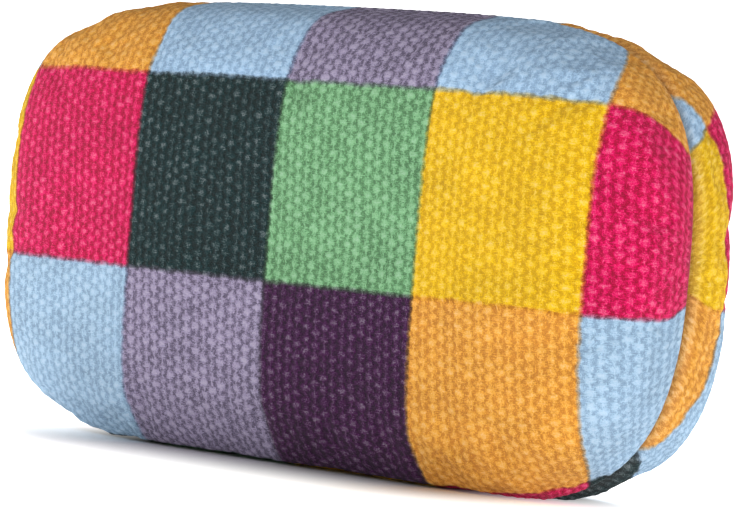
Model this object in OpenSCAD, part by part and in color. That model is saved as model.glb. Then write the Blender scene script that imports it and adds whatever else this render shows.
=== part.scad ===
// Pin cushion: a stuffed block of printed canvas that stands on its long narrow side.
// Two canvas panels wrap half of the thickness each and are joined by one seam that runs
// all round. Inside are two sheets of wadding round a foam core.
//
// +X runs along the length, the front panel faces -Y and +Z is up. The origin lies under
// the middle of the cushion, on the flat that it stands on. All sizes are in millimetres.

/* [Overall size] */
// Length from end to end
cushion_length = 100; // [80:1:130]
// Thickness from the front panel to the back panel
cushion_depth = 25.5; // [22:0.5:36]
// Height as it stands
cushion_height = 51; // [42:1:70]
// How far the underside is pressed flat where it stands
base_squash = 1; // [0.5:0.1:2]

/* [Shape] */
// Squareness of the two ends
end_power = 5; // [4:0.1:7]
// Squareness of the top and the underside
side_power = 2.7; // [2.2:0.1:4]
// Squareness of the shoulders between a panel's face and the seam
shoulder_power = 3.7; // [2.6:0.1:5]

/* [Canvas] */
// Thickness of the canvas
canvas_thickness = 0.8; // [0.6:0.1:1.2]
// Width of canvas turned in behind the seam
seam_allowance = 5.5; // [4:0.5:7]
// Radius that the canvas rolls over at the seam
seam_roll = 1.2; // [1:0.1:1.4]
// Gap between the two panels' turned-in edges
seam_gap = 0.1; // [0.05:0.01:0.2]

/* [Stuffing] */
// Thickness of the wadding sheets
wadding_thickness = 4.5; // [3:0.5:5]
// Clearance between one layer and the next
layer_gap = 0.3; // [0.1:0.05:0.5]

/* [Thread] */
// Diameter of the sewing thread
thread_diameter = 0.35; // [0.2:0.05:0.5]
// Distance of the machine stitches behind the rolled edge
stitch_set_back = 0.4; // [0.3:0.1:0.8]
// Length of the opening that the cushion was turned and filled through
turning_gap = 36; // [24:1:44]
// Distance from one hand stitch to the next
hand_stitch_pitch = 4; // [3:0.5:6]
// Height of the hand stitches above the flat underside
hand_stitch_rise = 0.1; // [0.05:0.05:0.3]

/* [Hidden] */

FRONT = -1;
BACK = 1;

half_length = cushion_length / 2;
half_depth = cushion_depth / 2;
// Before it is pressed flat, the outline is taller than the cushion stands.
half_height = (cushion_height + base_squash) / 2;
centre_height = cushion_height - half_height;

// Each layer lies inside the one before it, by the thickness of that and a clearance.
wadding_inset = canvas_thickness + layer_gap;
wadding_inner_inset = wadding_inset + wadding_thickness;
core_inset = wadding_inner_inset + layer_gap;
// Where the turned-in canvas is wider than the wadding is thick, it presses into the foam.
groove_inset = seam_allowance + layer_gap;
// From the seam to the inner face of the turned-in canvas
allowance_face = seam_gap / 2 + canvas_thickness;
// The wadding's rim leaves room for the thread that lies on the turned-in canvas.
wadding_rim = allowance_face + thread_diameter + layer_gap;
stitch_inset = seam_roll + stitch_set_back;

spokes = 60;
crown_steps = 9;
lining_steps = 7;
roll_steps = 4;
thread_steps = 72;
thread_sides = 8;
// The middle of a panel, up to this angle of the crown, is taken as flat.
middle_angle = 9;

canvas_colour = [0.93, 0.77, 0.25];
back_canvas_colour = [0.85, 0.25, 0.42];
thread_colour = [0.93, 0.91, 0.86];
wadding_colour = [0.97, 0.97, 0.95];
foam_colour = [0.95, 0.88, 0.62];

// The cushion's surface is |x/a|^end_power + |z/c|^side_power + |y/b|^shoulder_power = 1,
// where a, b and c are its half length, depth and height. A slice at one depth is a ring,
// which is held as [inset, fullness, depth]: how far it lies inside the outline, the share
// of the sum that is left for x and z, and its distance from the seam.

// A power that keeps the sign of its base
function signed_power(base, exponent) = sign(base) * pow(abs(base), exponent);

// One point of a ring, at an angle about the middle. No ring reaches below the flat
// underside, from which it keeps the same inset as from the outline.
function ring_point(ring, angle) =
    let (inset = ring[0],
         share = sqrt(ring[1]),
         x = (half_length - inset) * signed_power(cos(angle) * share, 2 / end_power),
         z = (half_height - inset) * signed_power(sin(angle) * share, 2 / side_power))
    [x, ring[2], max(centre_height + z, inset)];

// The rings of a crowned face that lies one inset inside the canvas, from its flat middle
// out to a rim at some distance from the seam. Equal steps of angle crowd them together
// at the shoulder, where the face turns.
function crown_rings(inset, rim_depth, steps) =
    let (depth = half_depth - inset,
         rim_angle = acos(pow(rim_depth / depth, shoulder_power / 2)))
    [for (step = [0:steps])
        let (angle = middle_angle + (rim_angle - middle_angle) * step / steps)
        [inset, pow(sin(angle), 2), step == 0 ? depth : depth * pow(cos(angle), 2 / shoulder_power)]];

// The quarter round over which the canvas rolls in at the seam
function roll_rings() =
    [for (step = [1:roll_steps])
        let (angle = 90 * step / roll_steps)
        [seam_roll * (1 - cos(angle)), 1, seam_gap / 2 + seam_roll * (1 - sin(angle))]];

function reversed(list) = [for (i = [len(list) - 1:-1:0]) list[i]];

// A closed solid through a list of rings, with a flat cap on the first and on the last.
// side is FRONT or BACK, and turns depth into a place along Y.
module ring_solid(rings, side) {
    count = len(rings);
    points = [for (ring = rings) for (k = [0:spokes - 1])
        let (p = ring_point(ring, 360 * k / spokes)) [p[0], side * p[1], p[2]]];
    walls = [for (r = [0:count - 2]) for (k = [0:spokes - 1])
        let (a = r * spokes + k,
             b = r * spokes + (k + 1) % spokes)
        each [[a, b, b + spokes], [a, b + spokes, a + spokes]]];
    first_cap = [for (k = [spokes - 1:-1:0]) k];
    last_cap = [for (k = [0:spokes - 1]) (count - 1) * spokes + k];
    faces = concat(walls, [first_cap], [last_cap]);
    polyhedron(points, side == FRONT ? [for (face = faces) reversed(face)] : faces);
}

// A canvas panel: its crowned face, the rolled edge, the turned-in allowance and the
// inside of the canvas.
module panel(side) {
    outside = crown_rings(0, seam_roll + seam_gap / 2, crown_steps);
    allowance = [[seam_allowance, 1, seam_gap / 2], [seam_allowance, 1, allowance_face]];
    inside = crown_rings(canvas_thickness, allowance_face, lining_steps);
    ring_solid(concat(outside, roll_rings(), allowance, reversed(inside)), side);
}

// A wadding sheet, moulded over half of the core by the panel's pull
module wadding(side) {
    outside = crown_rings(wadding_inset, wadding_rim, lining_steps);
    inside = crown_rings(wadding_inner_inset, wadding_rim, lining_steps);
    ring_solid(concat(outside, reversed(inside)), side);
}

// The point at an angle along the seam, on a line that lies an inset inside it
function seam_point(inset, angle) =
    let (p = ring_point([inset, 1, 0], angle)) [p[0], p[2]];

// The angle at which that line passes the end of the turning gap, above the underside
function gap_end_angle(inset) =
    acos(pow(turning_gap / 2 / (half_length - inset), end_power / 2));

// One line of machine stitches, as a plain round thread that lies on the turned-in canvas
// of one panel. It runs all round, except along the turning gap.
module seam_thread(side) {
    radius = thread_diameter / 2;
    gap_angle = gap_end_angle(stitch_inset);
    sweep = 180 + 2 * gap_angle;
    path = [for (step = [0:thread_steps])
        seam_point(stitch_inset, -gap_angle + sweep * step / thread_steps)];
    // The inward direction at a step of the path, square to the path
    function inward(step) =
        let (before = path[max(step - 1, 0)],
             after = path[min(step + 1, thread_steps)],
             run = after - before)
        [-run[1], run[0]] / norm(run);
    points = [for (step = [0:thread_steps]) for (k = [0:thread_sides - 1])
        let (turn = 360 * k / thread_sides,
             across = path[step] + radius * cos(turn) * inward(step))
        [across[0], side * (allowance_face + radius + radius * sin(turn)), across[1]]];
    walls = [for (step = [0:thread_steps - 1]) for (k = [0:thread_sides - 1])
        let (a = step * thread_sides + k,
             b = step * thread_sides + (k + 1) % thread_sides)
        each [[a, b, b + thread_sides], [a, b + thread_sides, a + thread_sides]]];
    first_cap = [for (k = [thread_sides - 1:-1:0]) k];
    last_cap = [for (k = [0:thread_sides - 1]) thread_steps * thread_sides + k];
    faces = concat(walls, [first_cap], [last_cap]);
    polyhedron(points, side == FRONT ? faces : [for (face = faces) reversed(face)]);
}

// Half the width of the groove between the two rolled edges, an inset above the underside
function groove_half_width(inset) =
    seam_gap / 2 + seam_roll - sqrt(pow(seam_roll, 2) - pow(seam_roll - inset, 2));

// The crossings of the ladder stitch that closes the turning gap. Each spans the groove
// between the rolled edges. The runs between them lie inside the folds.
module ladder_stitches() {
    count = floor(turning_gap / hand_stitch_pitch);
    span = groove_half_width(hand_stitch_rise + thread_diameter);
    for (stitch = [0:count - 1])
        translate([(stitch - (count - 1) / 2) * hand_stitch_pitch, 0,
                   hand_stitch_rise + thread_diameter / 2])
            rotate([90, 0, 0])
                cylinder(h = 2 * span, d = thread_diameter, center = true, $fn = 24);
}

module front_panel() { color(canvas_colour) panel(FRONT); }
module back_panel() { color(back_canvas_colour) panel(BACK); }
module needle_thread() { color(thread_colour) seam_thread(FRONT); }
module bobbin_thread() { color(thread_colour) seam_thread(BACK); }
module closing_thread() { color(thread_colour) ladder_stitches(); }
module front_wadding() { color(wadding_colour) wadding(FRONT); }
module back_wadding() { color(wadding_colour) wadding(BACK); }

// The foam block, its edges pressed round by the cover. It has a groove all round only
// where the turned-in canvas reaches into it.
module foam_core() {
    crown = crown_rings(core_inset, wadding_rim, lining_steps);
    groove = groove_inset > core_inset ? [[groove_inset, 1, wadding_rim]] : [];
    front_half = concat(crown, groove);
    back_half = [for (ring = reversed(front_half)) [ring[0], ring[1], -ring[2]]];
    color(foam_colour) ring_solid(concat(front_half, back_half), FRONT);
}

front_panel();
back_panel();
needle_thread();
bobbin_thread();
closing_thread();
front_wadding();
back_wadding();
foam_core();
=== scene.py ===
"""A stuffed pin cushion of printed canvas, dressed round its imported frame.

Two canvas panels wrap half of the thickness each and are joined by one seam that runs all
round. Inside are two sheets of wadding, a foam core and the threads of the seam. All the
layers follow one form, so each is a surface of two parameters that lies some way inside it.
Sizes are in metres. +X runs along the length, the front panel faces -Y and +Z is up.
"""

import logging
import math
from collections.abc import Sequence
from dataclasses import dataclass, field
from enum import Enum

import bpy
import numpy as np
from mathutils import Matrix, Vector


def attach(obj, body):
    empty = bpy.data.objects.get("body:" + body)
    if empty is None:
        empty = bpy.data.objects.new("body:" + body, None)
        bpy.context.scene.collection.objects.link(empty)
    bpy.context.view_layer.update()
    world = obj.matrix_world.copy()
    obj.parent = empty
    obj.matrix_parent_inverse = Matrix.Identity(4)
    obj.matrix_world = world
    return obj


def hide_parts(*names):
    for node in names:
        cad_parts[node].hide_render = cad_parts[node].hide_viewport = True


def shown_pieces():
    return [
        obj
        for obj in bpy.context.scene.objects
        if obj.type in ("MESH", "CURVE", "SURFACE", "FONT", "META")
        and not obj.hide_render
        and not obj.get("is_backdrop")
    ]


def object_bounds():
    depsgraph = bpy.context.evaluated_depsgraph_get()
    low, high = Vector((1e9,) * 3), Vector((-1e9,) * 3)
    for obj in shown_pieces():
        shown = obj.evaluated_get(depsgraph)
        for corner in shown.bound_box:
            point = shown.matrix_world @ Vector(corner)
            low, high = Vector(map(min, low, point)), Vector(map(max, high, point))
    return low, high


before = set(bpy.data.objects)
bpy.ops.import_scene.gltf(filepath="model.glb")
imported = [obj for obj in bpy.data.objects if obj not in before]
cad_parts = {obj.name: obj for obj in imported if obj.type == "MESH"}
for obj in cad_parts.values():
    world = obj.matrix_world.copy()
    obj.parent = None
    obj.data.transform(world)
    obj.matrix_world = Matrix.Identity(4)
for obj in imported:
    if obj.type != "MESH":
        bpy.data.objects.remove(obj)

LOG = logging.getLogger("pin_cushion")
MM = 0.001
# A crown of the weave, in yarns: its reach across and along, and how square it is
CROWN_WIDTH, CROWN_LENGTH, CROWN_POWER = 0.44, 0.6, 3.0
# The ridge of a pair of warp yarns: its reach in pairs and its height against a crown
RIDGE_WIDTH, RIDGE_HEIGHT = 0.18, 0.7
Socket = bpy.types.NodeSocket
Colour = tuple[float, float, float, float]


class Side(Enum):
    """Which half of the thickness a layer belongs to, as the sign of its place along Y."""

    FRONT = -1
    BACK = 1


# ---------------------------------------------------------------- shared mathematics


def signed_power(base: np.ndarray, exponent: float) -> np.ndarray:
    """Raises the size of each number to a power and keeps its sign.

    Args:
        base: The numbers.
        exponent: The power.

    Returns:
        sign(base) * |base| ^ exponent.
    """
    return np.sign(base) * np.abs(base) ** exponent


def smooth_noise(places: np.ndarray, seed: int, lattice: int = 32) -> np.ndarray:
    """Random values on a cubic lattice, blended smoothly between its points.

    The value at a place is the mean of its eight lattice neighbours, each weighted by the
    product over the axes of 1 - w or w, where w = 3 f^2 - 2 f^3 and f is the part of the
    place past the lattice point below it.

    Args:
        places: Points, as an array whose last axis has three numbers, in lattice steps.
        seed: The seed of the random values.
        lattice: How many lattice points there are before the values repeat.

    Returns:
        One value from -1 to 1 for each point.
    """
    table = np.random.default_rng(seed).uniform(-1.0, 1.0, (lattice,) * 3)
    below = np.floor(places).astype(int)
    part = places - below
    weight = part * part * (3.0 - 2.0 * part)
    total = np.zeros(places.shape[:-1])
    for corner in np.ndindex(2, 2, 2):
        index = (below + corner) % lattice
        share = np.prod(np.where(np.array(corner) == 1, weight, 1.0 - weight), axis=-1)
        total += share * table[index[..., 0], index[..., 1], index[..., 2]]
    return total


def layered_noise(places: np.ndarray, seed: int, octaves: int = 3) -> np.ndarray:
    """Sums smooth noise at doubling frequencies, each with half the strength.

    Args:
        places: Points in lattice steps of the coarsest noise.
        seed: The seed of the coarsest noise.
        octaves: How many layers are summed.

    Returns:
        One value for each point, mostly between -1 and 1.
    """
    total = np.zeros(places.shape[:-1])
    for octave in range(octaves):
        total += smooth_noise(places * 2.0**octave, seed + octave) / 2.0**octave
    return total


def flat_places(x: np.ndarray, y: np.ndarray) -> np.ndarray:
    """Stacks two coordinates into points of the plane z = 0, for the noise functions."""
    return np.stack([x, y, np.zeros_like(x)], axis=-1)


def cubic_steps(coarse: int, factor: int) -> np.ndarray:
    """The weights that carry evenly spaced values to a finer row through cubic curves.

    Between two values the curve is the Catmull-Rom cubic through them and their two
    neighbours. Past the ends of the row the end value is repeated.

    Args:
        coarse: The number of intervals in the coarse row.
        factor: How many fine intervals replace one coarse interval.

    Returns:
        A matrix with coarse * factor + 1 rows and coarse + 1 columns.
    """
    fine = np.arange(coarse * factor + 1)
    cell = np.minimum(fine // factor, coarse - 1)
    t = fine / factor - cell
    weights = [
        -0.5 * t + t**2 - 0.5 * t**3,
        1.0 - 2.5 * t**2 + 1.5 * t**3,
        0.5 * t + 2.0 * t**2 - 1.5 * t**3,
        -0.5 * t**2 + 0.5 * t**3,
    ]
    matrix = np.zeros((len(fine), coarse + 1))
    for step, weight in enumerate(weights):
        np.add.at(matrix, (fine, np.clip(cell + step - 1, 0, coarse)), weight)
    return matrix


# ---------------------------------------------------------------- the form of the cushion


@dataclass(frozen=True)
class CushionForm:
    """The rounded block that every layer follows.

    Its surface is |x/a|^end_power + |z/c|^side_power + |y/b|^shoulder_power = 1, where a, b
    and c are its half length, depth and height, and z is measured from its centre. The
    corners are fuller above the centre, where the side power is top_power, than below it.
    """

    half_length: float
    half_depth: float
    half_height: float
    centre_height: float
    end_power: float = 5.2
    top_power: float = 2.95
    base_power: float = 2.65
    shoulder_power: float = 4.4

    @classmethod
    def from_box(cls, low: Vector, high: Vector, base_squash: float) -> "CushionForm":
        """Fits the form to the frame's box.

        Args:
            low: The lowest corner.
            high: The highest corner.
            base_squash: How far the underside is pressed flat.

        Returns:
            The form.
        """
        half_height = (high.z - low.z + base_squash) / 2
        return cls((high.x - low.x) / 2, (high.y - low.y) / 2, half_height, high.z - half_height)

    def side_power(self, up: np.ndarray) -> np.ndarray:
        """The side power at places above or below the centre."""
        return np.where(up > 0, self.top_power, self.base_power)

    def face(self, p: np.ndarray, q: np.ndarray, inset: float, rim: float) -> np.ndarray:
        """The crowned face of a layer, over the square -1 <= p, q <= 1.

        The square is drawn onto a disc by x' = p sqrt(1 - q^2/2) and z' = q sqrt(1 - p^2/2),
        so that 1 - x'^2 - z'^2 = (1 - p^2)(1 - q^2). The disc is then stretched by
        x = a sign(x') |x'|^(2/end_power) and z = c sign(z') |z'|^(2/side_power), and the
        depth is b (1 - f + f (1 - p^2)(1 - q^2))^(1/shoulder_power), where the share
        f = 1 - (rim/b)^shoulder_power makes the square's edge lie at the rim's depth.

        Args:
            p: The parameter along the length.
            q: The parameter up the height.
            inset: How far the layer lies inside the form.
            rim: The depth of the layer's rim, from the seam.

        Returns:
            Points (x, depth, z), with z from the centre and depth from the seam.
        """
        depth = self.half_depth - inset
        share = 1.0 - (rim / depth) ** self.shoulder_power
        along = math.sqrt(share) * p * np.sqrt(1.0 - q**2 / 2)
        up = math.sqrt(share) * q * np.sqrt(1.0 - p**2 / 2)
        left = 1.0 - share + share * (1.0 - p**2) * (1.0 - q**2)
        return np.stack([
            (self.half_length - inset) * signed_power(along, 2 / self.end_power),
            depth * left ** (1 / self.shoulder_power),
            (self.half_height - inset) * signed_power(up, 2 / self.side_power(up)),
        ], axis=-1)

    def ring(self, p: np.ndarray, q: np.ndarray, inset: float, depth: float) -> np.ndarray:
        """A ring at one depth, at the places of the square's edge.

        With x' and z' as for a face, x = (a - inset) sign(x') |x'|^(2/end_power) and
        z = (c - inset) sign(z') |z'|^(2/side_power).

        Args:
            p: The parameter along the length, of places on the square's edge.
            q: The parameter up the height, of the same places.
            inset: How far the ring lies inside the outline.
            depth: The ring's distance from the seam.

        Returns:
            Points (x, depth, z), with z from the centre and depth from the seam.
        """
        along = p * np.sqrt(1.0 - q**2 / 2)
        up = q * np.sqrt(1.0 - p**2 / 2)
        return np.stack([
            (self.half_length - inset) * signed_power(along, 2 / self.end_power),
            np.full_like(along, depth),
            (self.half_height - inset) * signed_power(up, 2 / self.side_power(up)),
        ], axis=-1)

    def place(self, points: np.ndarray, side: Side, rest: float) -> np.ndarray:
        """Moves a layer from the form's own frame into the row frame.

        Args:
            points: Points (x, depth, z), with z from the centre and depth from the seam.
            side: The half of the thickness that the layer belongs to.
            rest: The height above the floor of what is pressed flat.

        Returns:
            Points (x, y, z) of the row frame.
        """
        return np.stack([
            points[..., 0],
            side.value * points[..., 1],
            np.maximum(points[..., 2] + self.centre_height, rest),
        ], axis=-1)

    def even_places(self, half_width: float, power: float, inset: float, rim: float,
                    count: int) -> np.ndarray:
        """Places along one axis of the square that lie evenly along the layer.

        On the middle slice x = w sin(t) and y = b (1 - sin(t)^power)^(1/shoulder_power), and
        its place on the square is sin(t)^(power/2) / sqrt(f). The arc length is summed over
        short chords and read back at even steps.

        Args:
            half_width: w, half the length or half the height of the form.
            power: The form's power along that axis.
            inset: How far the layer lies inside the form.
            rim: The depth of the layer's rim, from the seam.
            count: The number of intervals, which is even.

        Returns:
            count + 1 places from -1 to 1.
        """
        depth = self.half_depth - inset
        share = 1.0 - (rim / depth) ** self.shoulder_power
        angle = np.linspace(0.0, math.asin(share ** (1 / power)), 20001)
        across = (half_width - inset) * np.sin(angle)
        out = depth * (1.0 - np.sin(angle) ** power) ** (1 / self.shoulder_power)
        run = np.concatenate([[0.0], np.cumsum(np.hypot(np.diff(across), np.diff(out)))])
        even = np.interp(np.linspace(0.0, run[-1], count // 2 + 1), run, angle)
        half = np.sin(even) ** (power / 2) / math.sqrt(share)
        half[-1] = 1.0
        return np.concatenate([-half[:0:-1], half])

    def cloth_places(self, points: np.ndarray, inset: float) -> np.ndarray:
        """Where points lie on the cloth: their arc lengths along the panel and up it.

        Args:
            points: Points (x, depth, z) of a face, with z from the centre.
            inset: How far the face lies inside the form.

        Returns:
            Pairs of arc lengths (u, w) from the middle of the panel.
        """
        x = points[..., 0] * self.half_length / (self.half_length - inset)
        z = points[..., 2] * self.half_height / (self.half_height - inset)
        return np.stack([self.cloth_run(x, z, lengthwise=True),
                         self.cloth_run(z, x, lengthwise=False)], axis=-1)

    def cloth_run(self, across: np.ndarray, other: np.ndarray, lengthwise: bool) -> np.ndarray:
        """The arc length over the form's surface, from its middle line to a point.

        Along a slice of the form, across = w sin(t) and depth = b' (1 - sin(t)^n)^(1/m), where
        w and b' are the slice's own half width and depth. The chords of even steps of t are
        summed.

        Args:
            across: The coordinate that the arc runs along.
            other: The coordinate that the slice keeps, from the centre.
            lengthwise: True for an arc along the length, False for one up the height.

        Returns:
            The signed arc length of each point.
        """
        if lengthwise:
            width, kept_width = self.half_length, self.half_height
            power, kept_power = self.end_power, self.side_power(other)
        else:
            width, kept_width = self.half_height, self.half_length
            power, kept_power = self.side_power(across), self.end_power
        left = np.clip(1.0 - np.abs(other / kept_width) ** kept_power, 1e-9, 1.0)
        slice_width = width * left ** (1 / power)
        slice_depth = self.half_depth * left ** (1 / self.shoulder_power)
        end = np.arcsin(np.clip(across / slice_width, -1.0, 1.0))
        total = np.zeros_like(across)
        steps = 64
        before_x = np.zeros_like(across)
        before_y = slice_depth
        for step in range(1, steps + 1):
            sine = np.abs(np.sin(end * step / steps))
            x = slice_width * sine
            y = slice_depth * np.clip(1.0 - sine**power, 0.0, 1.0) ** (1 / self.shoulder_power)
            total += np.hypot(x - before_x, y - before_y)
            before_x, before_y = x, y
        return np.sign(across) * total


@dataclass
class Patch:
    """A grid of quads over the square, with the loop of points along its edge."""

    p: np.ndarray
    q: np.ndarray

    def __post_init__(self) -> None:
        """Crosses the two rows of places into a grid, p along the first axis."""
        self.p, self.q = np.meshgrid(self.p, self.q, indexing="ij")
        along, up = self.p.shape[0] - 1, self.p.shape[1] - 1
        bottom = [(i, 0) for i in range(along)]
        right = [(along, j) for j in range(up)]
        top = [(i, up) for i in range(along, 0, -1)]
        left = [(0, j) for j in range(up, 0, -1)]
        edge = np.array(bottom + right + top + left)
        self.edge = (edge[:, 0], edge[:, 1])
        self.next_in = (np.clip(edge[:, 0], 1, along - 1), np.clip(edge[:, 1], 1, up - 1))

    def indices(self, first: int = 0) -> np.ndarray:
        """The number of each grid point in a mesh, counted from first."""
        return first + np.arange(self.p.size).reshape(self.p.shape)

    def quads(self, first: int = 0) -> np.ndarray:
        """The grid's quads, wound to face -Y.

        Args:
            first: The number of the grid's first point in the mesh.

        Returns:
            Four point numbers for each quad.
        """
        n = self.indices(first)
        return np.stack([n[:-1, :-1], n[1:, :-1], n[1:, 1:], n[:-1, 1:]], axis=-1).reshape(-1, 4)


def band_quads(inner: np.ndarray, outer: np.ndarray) -> np.ndarray:
    """The quads between two closed loops of the same length.

    Args:
        inner: The point numbers of the loop nearer the middle of the face.
        outer: The point numbers of the loop that follows it.

    Returns:
        Four point numbers for each quad, wound as the face's quads are.
    """
    return np.stack([np.roll(inner, -1), inner, outer, np.roll(outer, -1)], axis=-1)


def fan_faces(fine: np.ndarray, coarse: np.ndarray) -> np.ndarray:
    """The faces between a fine closed loop and a coarser one.

    Args:
        fine: The point numbers of the fine loop.
        coarse: The point numbers of the loop that follows it, a whole fraction of them.

    Returns:
        The point numbers of each face: a run of the fine loop, then one coarse edge.
    """
    ratio = len(fine) // len(coarse)
    starts = np.arange(len(coarse)) * ratio
    run = fine[(starts[:, None] + np.arange(ratio, -1, -1)) % len(fine)]
    return np.concatenate([run, coarse[:, None], np.roll(coarse, -1)[:, None]], axis=1)


# ---------------------------------------------------------------- meshes


def make_piece(name: str, points: np.ndarray, faces: Sequence[Sequence[int]],
               flip: bool = False) -> bpy.types.Object:
    """Makes a smooth mesh object at the origin and links it to the scene.

    Args:
        name: The piece's name.
        points: Its points.
        faces: The point numbers of its faces.
        flip: Whether the faces are turned over.

    Returns:
        The object.
    """
    mesh = bpy.data.meshes.new(name)
    mesh.from_pydata(points.reshape(-1, 3), [], faces)
    if flip:
        mesh.flip_normals()
    mesh.shade_smooth()
    mesh.update()
    piece = bpy.data.objects.new(name, mesh)
    bpy.context.scene.collection.objects.link(piece)
    return piece


def add_map(piece: bpy.types.Object, name: str, coordinates: np.ndarray) -> None:
    """Gives a piece a UV map from one pair of coordinates for each point.

    Args:
        piece: The piece.
        name: The name of the map.
        coordinates: A pair for each point of its mesh.
    """
    mesh = piece.data
    corners = np.zeros(len(mesh.loops), int)
    mesh.loops.foreach_get("vertex_index", corners)
    layer = mesh.uv_layers.new(name=name)
    layer.data.foreach_set("uv", coordinates.reshape(-1, 2)[corners].astype(np.float32).ravel())


def add_mask(piece: bpy.types.Object, name: str, values: np.ndarray) -> None:
    """Gives a piece a number for each point, which its material reads as an attribute."""
    attribute = piece.data.attributes.new(name, "FLOAT", "POINT")
    attribute.data.foreach_set("value", values.astype(np.float32))


def triangle_count(piece: bpy.types.Object) -> int:
    """The number of triangles in a piece's own mesh."""
    return sum(len(face.vertices) - 2 for face in piece.data.polygons)


# ---------------------------------------------------------------- cloth


@dataclass(frozen=True)
class Weave:
    """Canvas in plain weave, with its warp yarns laid in pairs.

    Places on the cloth are counted in yarns: s counts warp pairs and t counts weft picks.
    """

    warp_pitch: float = 1.32 * MM
    weft_pitch: float = 0.676 * MM
    warp_lean: float = 0.026
    weft_lean: float = 0.014
    relief: float = 0.08 * MM
    pitch_spread: float = 0.07
    wander: float = 0.55
    wander_size: float = 16 * MM

    def yarns(self, cloth: np.ndarray, seed: int) -> np.ndarray:
        """Counts the yarns from the middle of the panel to each place.

        s = (u + lean w) / pitch, and t likewise. A slow noise bends the yarns, and a random
        offset for each yarn, blended between neighbours, spaces them unevenly.

        Args:
            cloth: Pairs of arc lengths (u, w).
            seed: The seed of this panel's cloth.

        Returns:
            Pairs (s, t).
        """
        u, w = cloth[..., 0], cloth[..., 1]
        places = flat_places(u, w) / self.wander_size
        s = (u + self.warp_lean * w) / self.warp_pitch + self.wander * smooth_noise(places, seed)
        t = (w + self.weft_lean * u) / self.weft_pitch
        t += self.wander * smooth_noise(places, seed + 1)
        rng = np.random.default_rng(seed)
        counts = np.arange(-120, 121)
        for yarn in (s, t):
            yarn += np.interp(yarn, counts, rng.normal(0.0, self.pitch_spread, len(counts)))
        return np.stack([s, t], axis=-1)

    def height(self, yarns: np.ndarray) -> np.ndarray:
        """The relief of the cloth: a crown where a pick passes over a pair, and the pair's ridge.

        A crown lies on column i at every second pick, staggered from column to column. Let
        ds and dt be the distances to the nearest crown of the nearest column. Those to the
        next column's crown are 1 - |ds| and 1 - |dt|. A crown is
        exp(-(ds/width)^power - (dt/length)^power) and the ridge is
        height exp(-(ds/width)^2), with their own widths.

        Args:
            yarns: Pairs (s, t).

        Returns:
            Heights from 0 to 1.
        """
        column = np.round(yarns[..., 0])
        ds = np.abs(yarns[..., 0] - column)
        dt = np.abs((yarns[..., 1] - column + 1.0) % 2.0 - 1.0)
        ridge = RIDGE_HEIGHT * np.exp(-((ds / RIDGE_WIDTH) ** 2))
        return np.maximum(np.maximum(self.crown(ds, dt), self.crown(1 - ds, 1 - dt)), ridge)

    @staticmethod
    def crown(across: np.ndarray, along: np.ndarray) -> np.ndarray:
        """The height of a crown, exp(-(across/width)^power - (along/length)^power).

        Args:
            across: The distance from its middle along the weft.
            along: The distance from its middle along the warp.

        Returns:
            Heights from 0 to 1.
        """
        return np.exp(-((across / CROWN_WIDTH) ** CROWN_POWER)
                      - (along / CROWN_LENGTH) ** CROWN_POWER)


@dataclass(frozen=True)
class CheckPrint:
    """Where the printed squares fall on each panel."""

    square_width: float = 22.15 * MM
    square_height: float = 22.2 * MM
    front_start: float = -44.35 * MM
    back_start: float = -51.9 * MM
    top_line: float = 17.45 * MM
    back_rise: float = 1.4 * MM
    drift: float = 0.2 * MM
    drift_size: float = 30 * MM
    drift_seed: int = 60

    def squares(self, cloth: np.ndarray, side: Side) -> np.ndarray:
        """Counts the printed squares from the pattern's corner to each place.

        On the front, the column is 1 + (u - start) / width. The back is printed as seen from
        behind, so u is turned about. The row is 1 + (line - w) / height. A slow noise lets
        the printed lines drift.

        Args:
            cloth: Pairs of arc lengths (u, w), with u positive towards +X.
            side: The panel.

        Returns:
            Pairs (column, row).
        """
        places = flat_places(cloth[..., 0], cloth[..., 1]) / self.drift_size
        u = cloth[..., 0] + self.drift * smooth_noise(places, self.drift_seed)
        w = cloth[..., 1] + self.drift * smooth_noise(places, self.drift_seed + 1)
        if side is Side.FRONT:
            column = (u - self.front_start) / self.square_width
            row = (self.top_line - w) / self.square_height
        else:
            column = (-u - self.back_start) / self.square_width
            row = (self.top_line + self.back_rise - w) / self.square_height
        return np.stack([column + 1.0, row + 1.0], axis=-1)


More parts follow.
